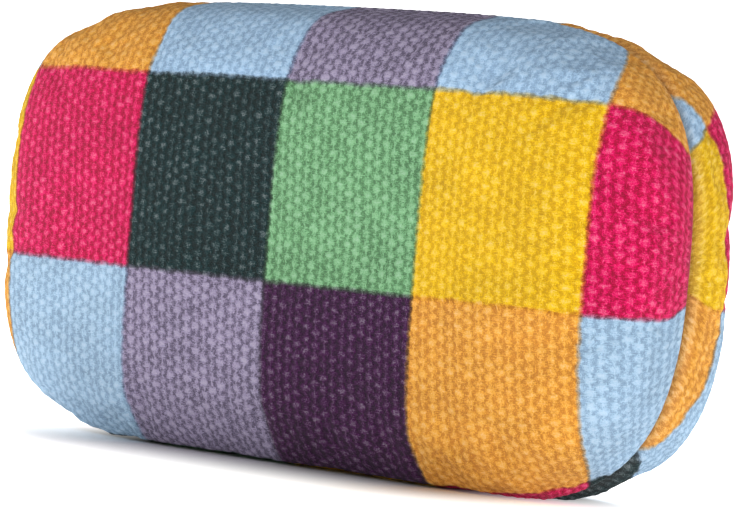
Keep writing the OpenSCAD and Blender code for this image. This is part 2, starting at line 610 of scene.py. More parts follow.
@dataclass
class Filling:
    """The push of the stuffing on a panel, worked out as cloth."""

    scale: float = 10.0
    steps: int = 24
    pressure: float = 3.0
    slack: float = 0.02
    start_depth: float = 0.96
    most: float = 1.6 * MM
    levelling: int = 60
    quality: int = 6
    weight: float = 0.2
    stretch_stiffness: float = 25.0
    shear_stiffness: float = 12.0
    bending_stiffness: float = 0.6
    damping: float = 15.0

    def push(self, name: str, patch: Patch, points: np.ndarray, side: Side) -> np.ndarray:
        """Lets pressure fill a panel whose edge is held at the seam, and keeps its folds.

        The panel starts a little shallower than the form and its cloth is a little larger,
        so it fills out and draws into soft folds where the seam bends. It runs at a larger
        scale, at which the solver is steady. A push d is held back to d / (1 + |d| / most).
        The folds are what is left of it without its slow part.

        Args:
            name: The panel's name.
            patch: The panel's coarse grid.
            points: The panel's points on the form.
            side: The panel's side.

        Returns:
            How far the folds move each point.
        """
        start = points.copy()
        rim = np.abs(points[patch.edge][0, 1])
        start[..., 1] = side.value * (rim + (np.abs(points[..., 1]) - rim) * self.start_depth)
        cut = make_piece(f"{name}_cut", start * self.scale, patch.quads().tolist(),
                         flip=side is Side.BACK)
        seam = cut.vertex_groups.new(name="seam")
        seam.add(patch.indices()[patch.edge].tolist(), 1.0, "REPLACE")
        modifier = cut.modifiers.new("cloth", "CLOTH")
        settings = modifier.settings
        settings.quality = self.quality
        settings.mass = self.weight
        settings.tension_stiffness = settings.compression_stiffness = self.stretch_stiffness
        settings.shear_stiffness = self.shear_stiffness
        settings.bending_stiffness = self.bending_stiffness
        settings.tension_damping = settings.compression_damping = self.damping
        settings.use_pressure = True
        settings.uniform_pressure_force = self.pressure
        settings.effector_weights.gravity = 0.0
        settings.vertex_group_mass = seam.name
        settings.shrink_min = -self.slack
        modifier.point_cache.frame_start = 1
        modifier.point_cache.frame_end = self.steps
        for step in range(1, self.steps + 1):
            bpy.context.scene.frame_set(step)
        filled = cut.evaluated_get(bpy.context.evaluated_depsgraph_get()).to_mesh()
        moved = np.zeros(len(filled.vertices) * 3, np.float32)
        filled.vertices.foreach_get("co", moved)
        bpy.data.objects.remove(cut)
        bpy.context.scene.frame_set(1)
        push = moved.reshape(points.shape).astype(float) / self.scale - points
        size = np.linalg.norm(push, axis=-1, keepdims=True)
        push = push / (1.0 + size / self.most)
        folds = push - self.level(push)
        size = np.linalg.norm(folds, axis=-1)
        LOG.info("%s: the filling moves the cloth by %.2f mm, at most %.2f mm",
                 name, size.mean() / MM, size.max() / MM)
        return folds

    def level(self, push: np.ndarray) -> np.ndarray:
        """The slow part of the push, by a repeated mean of each point and its neighbours.

        Args:
            push: How far each point of the grid moves.

        Returns:
            The movement without its folds.
        """
        slow = push.copy()
        for _ in range(self.levelling):
            for axis in (0, 1):
                margin = [(int(a == axis), int(a == axis)) for a in range(3)]
                padded = np.pad(slow, margin, "edge")
                count = slow.shape[axis]
                before = np.take(padded, range(count), axis)
                after = np.take(padded, range(2, count + 2), axis)
                slow = (before + slow + after) / 3
        return slow


@dataclass
class CanvasPanel:
    """One panel of the cover, with its rolled edge, turned-in allowance and inside."""

    form: CushionForm
    side: Side
    seed: int
    weave: Weave = field(default_factory=Weave)
    checks: CheckPrint = field(default_factory=CheckPrint)
    filling: Filling = field(default_factory=Filling)
    thickness: float = 0.8 * MM
    allowance: float = 5.5 * MM
    roll: float = 1.2 * MM
    gap: float = 0.1 * MM
    seam_wobble: float = 0.2 * MM
    wobble_size: float = 14 * MM
    wobble_seed: int = 70
    columns: int = 360
    rows: int = 216
    cloth_factor: int = 3
    lining_factor: int = 4
    roll_steps: int = 5
    smoothing: int = 12

    @property
    def name(self) -> str:
        """The piece's name."""
        return f"{self.side.name.lower()}_canvas"

    def patch(self, factor: int, inset: float, rim: float) -> Patch:
        """A grid over the panel, some way inside the form.

        Args:
            factor: How many of the finest intervals one interval spans.
            inset: How far it lies inside the form.
            rim: The depth of its edge from the seam.

        Returns:
            The grid.
        """
        form = self.form
        return Patch(
            form.even_places(form.half_length, form.end_power, inset, rim, self.columns // factor),
            form.even_places(form.half_height, form.base_power, inset, rim, self.rows // factor),
        )

    def wobble(self, points: np.ndarray) -> np.ndarray:
        """The seam's slight wander from its plane, the same for both panels.

        It is a slow noise of x and z, and fades as (1 - depth/b)^2 away from the seam.

        Args:
            points: Points (x, y, z) of the row frame.

        Returns:
            The points, moved along Y.
        """
        fade = np.clip(1.0 - np.abs(points[..., 1]) / self.form.half_depth, 0.0, 1.0) ** 2
        places = flat_places(points[..., 0], points[..., 2]) / self.wobble_size
        wander = smooth_noise(places, self.wobble_seed)
        moved = points.copy()
        moved[..., 1] += self.seam_wobble * fade * wander
        return moved

    def filled(self, rim: float) -> np.ndarray:
        """How the filling moves the panel, on the finest grid.

        Args:
            rim: The depth of the face's edge from the seam.

        Returns:
            A movement for each point of the finest grid.
        """
        coarse = self.patch(self.cloth_factor, self.weave.relief, rim)
        start = self.form.place(
            self.form.face(coarse.p, coarse.q, self.weave.relief, rim), self.side, 0.0)
        push = self.filling.push(self.name, coarse, start, self.side)
        along = cubic_steps(self.columns // self.cloth_factor, self.cloth_factor)
        up = cubic_steps(self.rows // self.cloth_factor, self.cloth_factor)
        return np.einsum("ai,ijk,bj->abk", along, push, up)

    def outward(self, points: np.ndarray) -> np.ndarray:
        """The outward normals of the panel, from its two tangents.

        Args:
            points: The panel's grid of points.

        Returns:
            A unit vector for each point.
        """
        normal = np.cross(np.gradient(points, axis=0), np.gradient(points, axis=1))
        normal *= -self.side.value
        return normal / np.maximum(np.linalg.norm(normal, axis=-1, keepdims=True), 1e-12)

    def build(self) -> bpy.types.Object:
        """Builds the panel as one closed mesh.

        Its parts follow one another outwards from the middle of the face: the face, the
        quarter round over which it rolls in at the seam, the allowance's two faces, and the
        inside of the canvas on a coarser grid.

        Returns:
            The piece, with the maps squares and yarns and the mask printed.
        """
        form, weave = self.form, self.weave
        rim = self.roll + self.gap / 2
        face = self.patch(1, weave.relief, rim)
        shape = form.face(face.p, face.q, weave.relief, rim)
        cloth = form.cloth_places(shape, weave.relief)
        base = form.place(shape, self.side, weave.relief)
        push = self.filled(rim)
        base = self.wobble(base + push)
        base[..., 2] = np.maximum(base[..., 2], weave.relief)
        crowns = weave.height(weave.yarns(cloth, self.seed))
        face_points = base + weave.relief * crowns[..., None] * self.outward(base)

        loops, loop_cloth = self.edge_loops(face, base, cloth)
        relief = np.zeros(len(loops))
        relief[:self.roll_steps] = weave.relief * np.linspace(1.0, 0.0, self.roll_steps + 1)[1:]
        away = loops - loops[self.roll_steps - 1]
        away /= np.maximum(np.linalg.norm(away, axis=-1, keepdims=True), 1e-9)
        crowns = weave.height(weave.yarns(loop_cloth, self.seed))
        loops += (relief[:, None] * crowns)[..., None] * away

        inset = self.thickness
        lining = self.patch(self.lining_factor, inset, self.gap / 2 + inset)
        inside_shape = form.face(lining.p, lining.q, inset, self.gap / 2 + inset)
        step = self.lining_factor
        inside = self.wobble(form.place(inside_shape, self.side, inset) + push[::step, ::step])
        inside[..., 2] = np.maximum(inside[..., 2], inset)
        inside_cloth = form.cloth_places(inside_shape, inset)

        points = np.concatenate([face_points.reshape(-1, 3), loops.reshape(-1, 3),
                                 inside.reshape(-1, 3)])
        cloth = np.concatenate([cloth.reshape(-1, 2), loop_cloth.reshape(-1, 2),
                                inside_cloth.reshape(-1, 2)])
        first_loop = face.p.size
        first_inside = first_loop + loops.shape[0] * loops.shape[1]
        numbers = first_loop + np.arange(loops.shape[0] * loops.shape[1]).reshape(loops.shape[:2])
        chain = [face.indices()[face.edge], *numbers]
        quads = [face.quads()]
        quads += [band_quads(inner, outer) for inner, outer in zip(chain, chain[1:])]
        quads.append(lining.quads(first_inside)[:, ::-1])
        fan = fan_faces(chain[-1], lining.indices(first_inside)[lining.edge])
        faces = np.concatenate(quads).tolist() + fan.tolist()

        piece = make_piece(self.name, points, faces, flip=self.side is Side.BACK)
        add_map(piece, "squares", self.checks.squares(cloth, self.side))
        add_map(piece, "yarns", weave.yarns(cloth, self.seed))
        printed = np.zeros(len(points))
        printed[:first_loop + (self.roll_steps + 2) * loops.shape[1]] = 1.0
        add_mask(piece, "printed", printed)
        return piece

    def edge_loops(self, face: Patch, base: np.ndarray,
                   cloth: np.ndarray) -> tuple[np.ndarray, np.ndarray]:
        """The loops of points that carry the canvas on from the edge of its face.

        A loop at angle g of the roll lies an inset r (1 - cos g) inside the outline and a
        depth of half the gap plus r (1 - sin g) from the seam. After the roll come the
        allowance's outer face, its raw edge and its inner face. The cloth's own coordinates
        run on outwards, by the distance from loop to loop.

        Args:
            face: The face's grid.
            base: The face's points.
            cloth: The face's places on the cloth.

        Returns:
            The loops' points, and their places on the cloth.
        """
        relief = self.weave.relief
        angles = np.linspace(0.0, math.pi / 2, self.roll_steps + 1)[1:]
        half_gap = self.gap / 2
        rings = [(relief + (self.roll - relief) * (1 - math.cos(g)),
                  half_gap + self.roll * (1 - math.sin(g))) for g in angles]
        rings += [((self.roll + self.allowance) / 2, half_gap), (self.allowance, half_gap),
                  (self.allowance, half_gap + self.thickness)]
        p, q = face.p[face.edge], face.q[face.edge]
        loops = np.stack([
            self.form.place(self.form.ring(p, q, inset, depth), self.side, inset)
            for inset, depth in rings])
        loops = self.wobble(loops)
        edge = base[face.edge]
        inner = base[face.next_in]
        outwards = cloth[face.edge] - cloth[face.next_in]
        outwards /= np.linalg.norm(edge - inner, axis=-1, keepdims=True)
        for _ in range(self.smoothing):
            outwards = (np.roll(outwards, 1, axis=0) + outwards + np.roll(outwards, -1, axis=0)) / 3
        outwards /= np.linalg.norm(outwards, axis=-1, keepdims=True)
        chords = np.linalg.norm(np.diff(np.concatenate([edge[None], loops]), axis=0), axis=-1)
        run = np.cumsum(chords, axis=0)
        return loops, cloth[face.edge] + run[..., None] * outwards


# ---------------------------------------------------------------- threads


def sweep(name: str, path: np.ndarray, radius: float, up: Vector, sides: int = 8,
          plies: int = 3, twist: float = 1.2 * MM, end_taper: float = 0.35) -> bpy.types.Object:
    """Carries a three-ply thread's outline along a path.

    At a distance d along the path and an angle g round it, the radius is
    r (0.86 + 0.14 |cos(plies (g - 2 pi d / twist) / 2)|).

    Args:
        name: The piece's name.
        path: The points of the thread's centre line.
        radius: The thread's radius.
        up: A direction that the path never follows.
        sides: The number of points round the thread.
        plies: The number of yarns twisted together.
        twist: The length of one turn of the twist.
        end_taper: The share of the radius that is left at the two ends.

    Returns:
        The piece, with a map of its turns and its length in turns of the twist.
    """
    tangent = np.gradient(path, axis=0)
    tangent /= np.linalg.norm(tangent, axis=1, keepdims=True)
    side = np.cross(tangent, np.array(up))
    side /= np.linalg.norm(side, axis=1, keepdims=True)
    over = np.cross(side, tangent)
    chords = np.linalg.norm(np.diff(path, axis=0), axis=1)
    run = np.concatenate([[0.0], np.cumsum(chords)])
    angle = np.linspace(0.0, 2 * math.pi, sides, endpoint=False)
    turn = angle[None, :] - 2 * math.pi * run[:, None] / twist
    reach = radius * (0.86 + 0.14 * np.abs(np.cos(plies * turn / 2)))
    ends = np.ones(len(path))
    ends[[0, -1]] = end_taper
    reach *= ends[:, None]
    points = path[:, None] + reach[..., None] * (
        np.cos(angle)[None, :, None] * side[:, None] + np.sin(angle)[None, :, None] * over[:, None])
    numbers = np.arange(len(path) * sides).reshape(len(path), sides)
    ahead = np.roll(numbers, -1, axis=1)
    quads = np.stack([numbers[:-1], ahead[:-1], ahead[1:], numbers[1:]], axis=-1).reshape(-1, 4)
    caps = [numbers[0, ::-1].tolist(), numbers[-1].tolist()]
    piece = make_piece(name, points, quads.tolist() + caps, flip=True)
    turns = np.stack([np.broadcast_to(angle / (2 * math.pi), reach.shape),
                      np.broadcast_to(run[:, None] / twist, reach.shape)], axis=-1)
    add_map(piece, "turns", turns)
    return piece


@dataclass
class MachineSeam:
    """The lock stitches that join the two panels, one thread on each panel's allowance."""

    form: CushionForm
    radius: float = 0.175 * MM
    stitch: float = 2.5 * MM
    inset: float = 1.6 * MM
    allowance_face: float = 0.85 * MM
    turning_gap: float = 36 * MM
    points_per_stitch: int = 14

    def build(self, side: Side) -> bpy.types.Object:
        """Builds one thread. It lies on the allowance and dips into the cloth at each hole.

        With d the distance along the seam, its height over the cloth falls at each hole by
        |cos(pi d / stitch)|^8 of the way to the seam's plane. The seam's line is
        x = (a - inset) sign(cos g) |cos g|^(2/end_power) and z likewise with sin g.

        Args:
            side: The panel whose allowance it lies on.

        Returns:
            The piece.
        """
        form = self.form
        start = math.acos((self.turning_gap / 2 / (form.half_length - self.inset))
                          ** (form.end_power / 2))
        angle = np.linspace(-start, math.pi + start, 40001)
        x = (form.half_length - self.inset) * signed_power(np.cos(angle), 2 / form.end_power)
        up = np.sin(angle)
        z = (form.half_height - self.inset) * signed_power(up, 2 / form.side_power(up))
        z = np.maximum(z + form.centre_height, self.inset)
        run = np.concatenate([[0.0], np.cumsum(np.hypot(np.diff(x), np.diff(z)))])
        stitches = round(run[-1] / self.stitch)
        even = np.linspace(0.0, run[-1], stitches * self.points_per_stitch + 1)
        part = np.arange(len(even)) / self.points_per_stitch
        dip = np.abs(np.cos(math.pi * part)) ** 8
        level = self.allowance_face + self.radius * (1.0 + 0.25 * np.sin(math.pi * part) ** 2)
        y = side.value * (level * (1.0 - dip) + self.radius * dip)
        path = np.stack([np.interp(even, run, x), y, np.interp(even, run, z)], axis=-1)
        name = "needle_stitches" if side is Side.FRONT else "bobbin_stitches"
        return sweep(name, path, self.radius, Vector((0.0, 1.0, 0.001)))


@dataclass
class LadderStitch:
    """The hand stitches that close the turning gap under the cushion."""

    radius: float = 0.175 * MM
    pitch: float = 4 * MM
    turning_gap: float = 36 * MM
    rise: float = 0.1 * MM
    span: float = 0.55 * MM
    fold_rise: float = 0.5 * MM
    fold_depth: float = 0.3 * MM
    turn: float = 0.2
    points_per_rung: int = 60

    def build(self) -> bpy.types.Object:
        """Builds the thread as one line that climbs the groove like a ladder.

        The corners of the ladder are its rungs' ends. Each rung crosses the groove and each
        rail runs inside a fold to the next rung. The line is smoothed by a running mean.

        Returns:
            The piece.
        """
        count = math.floor(self.turning_gap / self.pitch)
        corners = []
        for rung in range(count):
            x = (rung - (count - 1) / 2) * self.pitch
            hand = 1 if rung % 2 else -1
            height = self.rise + self.radius
            for y in (-hand * self.span, hand * self.span):
                corners.append((x, y, height))
            for share in (self.turn, 1 - self.turn):
                corners.append((x + share * self.pitch, hand * (self.span + self.fold_depth),
                                height + self.fold_rise))
        corners = np.array(corners[:-1])
        chords = np.linalg.norm(np.diff(corners, axis=0), axis=1)
        run = np.concatenate([[0.0], np.cumsum(chords)])
        even = np.linspace(0.0, run[-1], self.points_per_rung * count)
        path = np.stack([np.interp(even, run, corners[:, axis]) for axis in range(3)], axis=-1)
        kernel = np.ones(5) / 5
        soft = np.stack([np.convolve(path[:, axis], kernel, "valid") for axis in range(3)], axis=-1)
        return sweep("closing_stitches", soft, self.radius, Vector((0.05, 0.02, 1.0)))


# ---------------------------------------------------------------- stuffing


def two_faced(name: str, patch: Patch, faces: tuple[np.ndarray, np.ndarray],
              rings: np.ndarray, flip: bool = False) -> bpy.types.Object:
    """Joins two faces of the same grid by the rings of points between their edges.

    Args:
        name: The piece's name.
        patch: The grid of both faces.
        faces: The points of the face that looks outwards, and of the other.
        rings: The loops of points from the edge of the first face to that of the second.
        flip: Whether the mesh is turned over.

    Returns:
        The piece, as one closed mesh.
    """
    numbers = patch.p.size + np.arange(rings.shape[0] * rings.shape[1]).reshape(rings.shape[:2])
    first_of_second = patch.p.size + numbers.size
    chain = [patch.indices()[patch.edge], *numbers, patch.indices(first_of_second)[patch.edge]]
    quads = [patch.quads(), patch.quads(first_of_second)[:, ::-1]]
    quads += [band_quads(a, b) for a, b in zip(chain, chain[1:])]
    points = np.concatenate([part.reshape(-1, 3) for part in (faces[0], rings, faces[1])])
    return make_piece(name, points, np.concatenate(quads).tolist(), flip)


def towards_middle(points: np.ndarray, centre_height: float) -> np.ndarray:
    """The directions from points to the middle of the cushion.

    Args:
        points: Points of the row frame.
        centre_height: The height of the middle.

    Returns:
        A unit vector for each point.
    """
    away = np.array([0.0, 0.0, centre_height]) - points
    return away / np.linalg.norm(away, axis=-1, keepdims=True)


@dataclass
class WaddingSheet:
    """A sheet of polyester wadding, moulded over half of the foam by the panel's pull."""

    form: CushionForm
    side: Side
    seed: int
    outer_inset: float = 1.1 * MM
    inner_inset: float = 5.6 * MM
    rim: float = 1.5 * MM
    tuft: float = 0.28 * MM
    tuft_size: float = 2.2 * MM
    rim_bulge: float = 0.2 * MM
    columns: int = 168
    rows: int = 104
    rim_steps: int = 7

    def build(self) -> bpy.types.Object:
        """Builds the sheet as one closed mesh: an outer face, an inner face and a lofty rim.

        Each face is the form's own surface at its inset, moved inwards by a layered noise
        between nothing and the tuft's height. The rim bulges half-way by sin(g) between them.

        Returns:
            The piece.
        """
        form = self.form
        sheets = []
        for inset, seed in ((self.outer_inset, self.seed), (self.inner_inset, self.seed + 10)):
            patch = Patch(
                form.even_places(form.half_length, form.end_power, inset, self.rim, self.columns),
                form.even_places(form.half_height, form.base_power, inset, self.rim, self.rows))
            points = form.place(form.face(patch.p, patch.q, inset, self.rim), self.side, inset)
            sheets.append((patch, self.tufted(points, inset, seed)))
        (patch, outer), (_, inner) = sheets
        outer_edge, inner_edge = outer[patch.edge], inner[patch.edge]
        bulge = np.array([0.0, -self.side.value * self.rim_bulge, 0.0])
        rims = np.stack([
            outer_edge * (1 + math.cos(g)) / 2 + inner_edge * (1 - math.cos(g)) / 2
            + bulge * math.sin(g) for g in np.linspace(0.0, math.pi, self.rim_steps + 1)[1:-1]])
        name = f"{self.side.name.lower()}_sheet"
        return two_faced(name, patch, (outer, inner), rims, self.side is Side.BACK)

    def tufted(self, points: np.ndarray, inset: float, seed: int) -> np.ndarray:
        """Gives a face the uneven loft of carded fibres.

        Args:
            points: The face's points.
            inset: How far the face lies inside the form.
            seed: The seed of its noise.

        Returns:
            The points, moved towards the middle of the sheet.
        """
        loft = 0.5 + 0.5 * layered_noise(points / self.tuft_size, seed)
        loft = self.tuft * np.clip(loft, 0.0, 1.0)
        outer = inset == self.outer_inset
        sign = 1.0 if outer else -1.0
        moved = points + sign * towards_middle(points, self.form.centre_height) * loft[..., None]
        moved[..., 2] = np.maximum(moved[..., 2], inset if outer else 0.0)
        return moved


@dataclass
class FoamCore:
    """The block of foam in the middle, its edges pressed round by the cover."""

    form: CushionForm
    inset: float = 5.9 * MM
    rim: float = 1.5 * MM
    pit: float = 0.18 * MM
    pit_size: float = 0.9 * MM
    pit_seed: int = 40
    columns: int = 168
    rows: int = 100
    band_steps: int = 6

    def build(self) -> bpy.types.Object:
        """Builds the block from its two crowned faces and the band between them.

        Open cells pit the surface: it moves inwards by the pit's depth times the square of a
        layered noise.

        Returns:
            The piece.
        """
        form = self.form
        patch = Patch(
            form.even_places(form.half_length, form.end_power, self.inset, self.rim, self.columns),
            form.even_places(form.half_height, form.base_power, self.inset, self.rim, self.rows))
        face = form.face(patch.p, patch.q, self.inset, self.rim)
        front = form.place(face, Side.FRONT, self.inset)
        back = form.place(face, Side.BACK, self.inset)
        edge = front[patch.edge]
        band = np.stack([np.stack([edge[:, 0], np.full(len(edge), y), edge[:, 2]], axis=-1)
                         for y in np.linspace(-self.rim, self.rim, self.band_steps + 1)[1:-1]])
        front, band, back = (self.pitted(points) for points in (front, band, back))
        return two_faced("foam_block", patch, (front, back), band)

    def pitted(self, points: np.ndarray) -> np.ndarray:
        """Sinks points into open cells.

        Args:
            points: Points on the block.

        Returns:
            The points, moved towards the block's middle.
        """
        noise = layered_noise(points / self.pit_size, self.pit_seed, 2)
        depth = self.pit * np.clip(noise, 0.0, 1.0) ** 2
        return points + depth[..., None] * towards_middle(points, self.form.centre_height)


# ---------------------------------------------------------------- nodes


def colour(red: int, green: int, blue: int) -> Colour:
    """Turns a screen colour into the linear colour that a shader takes.

    Each channel is (c / 255), made linear by ((c + 0.055) / 1.055)^2.4, or c / 12.92 when
    it is dark.

    Args:
        red: Red, from 0 to 255.
        green: Green, from 0 to 255.
        blue: Blue, from 0 to 255.

    Returns:
        The linear colour, opaque.
    """
    def linear(channel: int) -> float:
        """The linear value of one channel."""
        c = channel / 255
        return c / 12.92 if c <= 0.04045 else ((c + 0.055) / 1.055) ** 2.4
    return (linear(red), linear(green), linear(blue), 1.0)


@dataclass
class Bench:
    """A node tree, with short ways to add nodes and join them."""

    tree: bpy.types.NodeTree

    def add(self, kind: str, *inputs: object, **settings: object) -> bpy.types.Node:
        """Adds a node.

        Args:
            kind: The node's type.
            inputs: What goes into its first sockets: a value, a socket, or None to skip one.
            settings: The node's own settings.

        Returns:
            The node.
        """
        node = self.tree.nodes.new(kind)
        for name, value in settings.items():
            setattr(node, name, value)
        for target, source in zip(node.inputs, inputs):
            self.join(source, target)
        return node

    def join(self, source: object, target: Socket) -> None:
        """Feeds a socket from another socket, or sets it to a value.

        Args:
            source: A socket, a value, or None to leave the target as it is.
            target: The socket that is fed.
        """
        if isinstance(source, Socket):
            self.tree.links.new(source, target)
        elif source is not None:
            target.default_value = source

    def maths(self, operation: str, *values: object) -> Socket:
        """Adds a Math node and returns its result."""
        return self.add("ShaderNodeMath", *values, operation=operation).outputs[0]

    def vectors(self, operation: str, *values: object) -> bpy.types.Node:
        """Adds a Vector Math node."""
        return self.add("ShaderNodeVectorMath", *values, operation=operation)

    def mix(self, factor: object, first: object, second: object, blend: str = "MIX") -> Socket:
        """Mixes two colours.

        Args:
            factor: How much of the second colour goes in.
            first: The first colour.
            second: The second colour.
            blend: The blend mode.

        Returns:
            The mixed colour.
        """
        node = self.add("ShaderNodeMix", data_type="RGBA", blend_type=blend)
        self.join(factor, node.inputs["Factor"])
        self.join(first, node.inputs[6])
        self.join(second, node.inputs[7])
        return node.outputs[2]

    def between(self, value: object, low: float, high: float, to_low: float = 0.0,
                to_high: float = 1.0) -> Socket:
        """Maps a range of values smoothly onto another.

        Args:
            value: The value.
            low: The start of its range.
            high: The end of its range.
            to_low: What the start becomes.
            to_high: What the end becomes.

        Returns:
            The mapped value.
        """
        node = self.add("ShaderNodeMapRange", value, low, high, to_low, to_high,
                        interpolation_type="SMOOTHSTEP")
        return node.outputs[0]

    def overlay(self, first: Socket, second: Socket, share: Socket, wet: Socket) -> Socket:
        """Blends two inks, and prints them over each other where both are wet.

        Args:
            first: The first ink.
            second: The second ink.
            share: The share of the second ink.
            wet: How much of their product goes in.

        Returns:
            The ink.
        """
        blended = self.mix(share, first, second)
        return self.mix(wet, blended, self.mix(1.0, first, second, "MULTIPLY"))

    def crown(self, across: Socket, along: Socket) -> Socket:
        """A yarn's crown, exp(-(across/width)^power - (along/length)^power).

        Args:
            across: The distance from its middle along the weft.
            along: The distance from its middle along the warp.

        Returns:
            Its height.
        """
        across = self.maths("POWER", self.maths("DIVIDE", across, CROWN_WIDTH), CROWN_POWER)
        along = self.maths("POWER", self.maths("DIVIDE", along, CROWN_LENGTH), CROWN_POWER)
        reach = self.maths("ADD", across, along)
        return self.maths("EXPONENT", self.maths("MULTIPLY", reach, -1.0))

    def bump(self, height: Socket, distance: float) -> Socket:
        """Turns a height into a normal.

        Args:
            height: The height, where 1 stands for the distance.
            distance: The relief of a height of 1.

        Returns:
            The normal.
        """
        node = self.add("ShaderNodeBump")
        node.inputs["Distance"].default_value = distance
        self.join(height, node.inputs["Height"])
        return node.outputs[0]

    def group(self, tree: bpy.types.NodeTree, **inputs: object) -> bpy.types.Node:
        """Places a node group with its own values.

        Args:
            tree: The group.
            inputs: What goes into its sockets, by name, with _ for a space.

        Returns:
            The group's node.
        """
        node = self.tree.nodes.new("ShaderNodeGroup")
        node.node_tree = tree
        for name, value in inputs.items():
            self.join(value, node.inputs[name.replace("_", " ")])
        return node


FLOAT, COLOUR, VECTOR = "NodeSocketFloat", "NodeSocketColor", "NodeSocketVector"


def start_group(name: str, inputs: dict[str, str],
                outputs: dict[str, str]) -> tuple[Bench, bpy.types.Node, bpy.types.Node]:
    """Starts a shader node group.

    Args:
        name: The group's name.
        inputs: The type of each input socket.
        outputs: The type of each output socket.

    Returns:
        A bench on its tree, its input node and its output node.
    """
    tree = bpy.data.node_groups.new(name, "ShaderNodeTree")
    for socket, kind in inputs.items():
        tree.interface.new_socket(socket, in_out="INPUT", socket_type=kind)
    for socket, kind in outputs.items():
        tree.interface.new_socket(socket, in_out="OUTPUT", socket_type=kind)
    bench = Bench(tree)
    return bench, bench.add("NodeGroupInput"), bench.add("NodeGroupOutput")


@dataclass(frozen=True)
class SharedEffects:
    """The node groups that more than one finish uses."""

    weave: bpy.types.NodeTree
    hollows: bpy.types.NodeTree
    fuzz: bpy.types.NodeTree

    @classmethod
    def make(cls) -> "SharedEffects":
        """Builds the groups."""
        return cls(cls.weave_group(), cls.hollow_group(), cls.fuzz_group())

    @staticmethod
    def weave_group() -> bpy.types.NodeTree:
        """The relief of plain-woven canvas at a place counted in yarns.

        A noise bends the place a little. The nearest column of warp is i = round(s), and ds
        and dt are the distances to its nearest crown, so those to the next column's crown
        are 1 - ds and 1 - dt. Each crown has its own random lift.

        Returns:
            The group: Height, Lift.
        """
        bench, given, made = start_group(
            "canvas weave", {"Yarns": VECTOR, "Unevenness": FLOAT},
            {"Height": FLOAT, "Lift": FLOAT})
        stretched = bench.vectors("MULTIPLY", given.outputs[0], (1.8, 1.2, 1.0)).outputs[0]
        noise = bench.add("ShaderNodeTexNoise", stretched, None, 1.0, 3.0, 0.6)
        centred = bench.vectors("SUBTRACT", noise.outputs["Color"], (0.5, 0.5, 0.5)).outputs[0]
        bend = bench.vectors("SCALE", centred)
        bench.join(given.outputs[1], bend.inputs["Scale"])
        place = bench.vectors("ADD", given.outputs[0], bend.outputs[0]).outputs[0]
        axes = bench.add("ShaderNodeSeparateXYZ", place)
        column = bench.maths("ROUND", axes.outputs[0])
        ds = bench.maths("ABSOLUTE", bench.maths("SUBTRACT", axes.outputs[0], column))
        pick = bench.maths("SUBTRACT", axes.outputs[1], column)
        wrapped = bench.maths("WRAP", pick, 1.0, -1.0)
        dt = bench.maths("ABSOLUTE", wrapped)
        cell = bench.add("ShaderNodeCombineXYZ", column, bench.maths("SUBTRACT", pick, wrapped), 0.0)
        random = bench.add("ShaderNodeTexWhiteNoise", cell.outputs[0], noise_dimensions="3D")
        lift = bench.between(random.outputs["Value"], 0.0, 1.0, 0.75, 1.1)
        crown = bench.maths("MULTIPLY", bench.crown(ds, dt), lift)
        beside = bench.crown(bench.maths("SUBTRACT", 1.0, ds), bench.maths("SUBTRACT", 1.0, dt))
        narrow = bench.maths("POWER", bench.maths("DIVIDE", ds, RIDGE_WIDTH), 2.0)
        ridge = bench.maths("EXPONENT", bench.maths("MULTIPLY", narrow, -1.0))
        ridge = bench.maths("MULTIPLY", ridge, RIDGE_HEIGHT)
        height = bench.maths("SMOOTH_MAX", crown, ridge, 0.1)
        bench.join(bench.maths("MAXIMUM", height, beside), made.inputs["Height"])
        bench.join(random.outputs["Value"], made.inputs["Lift"])
        return bench.tree

    @staticmethod
    def hollow_group() -> bpy.types.NodeTree:
        """The colour of a hollow, which light reaches only in part and after bounces.

        For a colour c and an openness o, it is c o / (1 - c (1 - o)), in each channel.

        Returns:
            The group: Colour.
        """
        bench, given, made = start_group("hollow shade", {"Colour": COLOUR, "Openness": FLOAT},
                                         {"Colour": COLOUR})
        lit = bench.vectors("SCALE", given.outputs[0])
        bench.join(given.outputs[1], lit.inputs["Scale"])
        shut = bench.vectors("SCALE", given.outputs[0])
        bench.join(bench.maths("SUBTRACT", 1.0, given.outputs[1]), shut.inputs["Scale"])
        left = bench.vectors("SUBTRACT", (1.0, 1.0, 1.0), shut.outputs[0]).outputs[0]
        bench.join(bench.vectors("DIVIDE", lit.outputs[0], left).outputs[0], made.inputs[0])
        return bench.tree

    @staticmethod
    def fuzz_group() -> bpy.types.NodeTree:
        """Fine loose fibres: two stretched noises laid across each other.

        Returns:
            The group: Height.
        """
        bench, given, made = start_group("fuzz", {"Place": VECTOR, "Fineness": FLOAT},
                                         {"Height": FLOAT})
        scaled = bench.vectors("SCALE", given.outputs[0])
        bench.join(given.outputs[1], scaled.inputs["Scale"])
        strands = []
        for stretch in ((1.0, 4.0, 1.0), (4.0, 1.0, 2.5)):
            place = bench.vectors("MULTIPLY", scaled.outputs[0], stretch).outputs[0]
            noise = bench.add("ShaderNodeTexNoise", place, None, 1.0, 3.0, 0.65)
            strands.append(noise.outputs[0])
        bench.join(bench.maths("MAXIMUM", *strands), made.inputs[0])
        return bench.tree


def start_material(name: str) -> tuple[bpy.types.Material, Bench, bpy.types.Node]:
    """Starts a material with a Principled shader.

    Args:
        name: The material's name.

    Returns:
        The material, a bench on its tree and its shader node.
    """
    material = bpy.data.materials.new(name)
    material.use_nodes = True
    bench = Bench(material.node_tree)
    return material, bench, material.node_tree.nodes["Principled BSDF"]


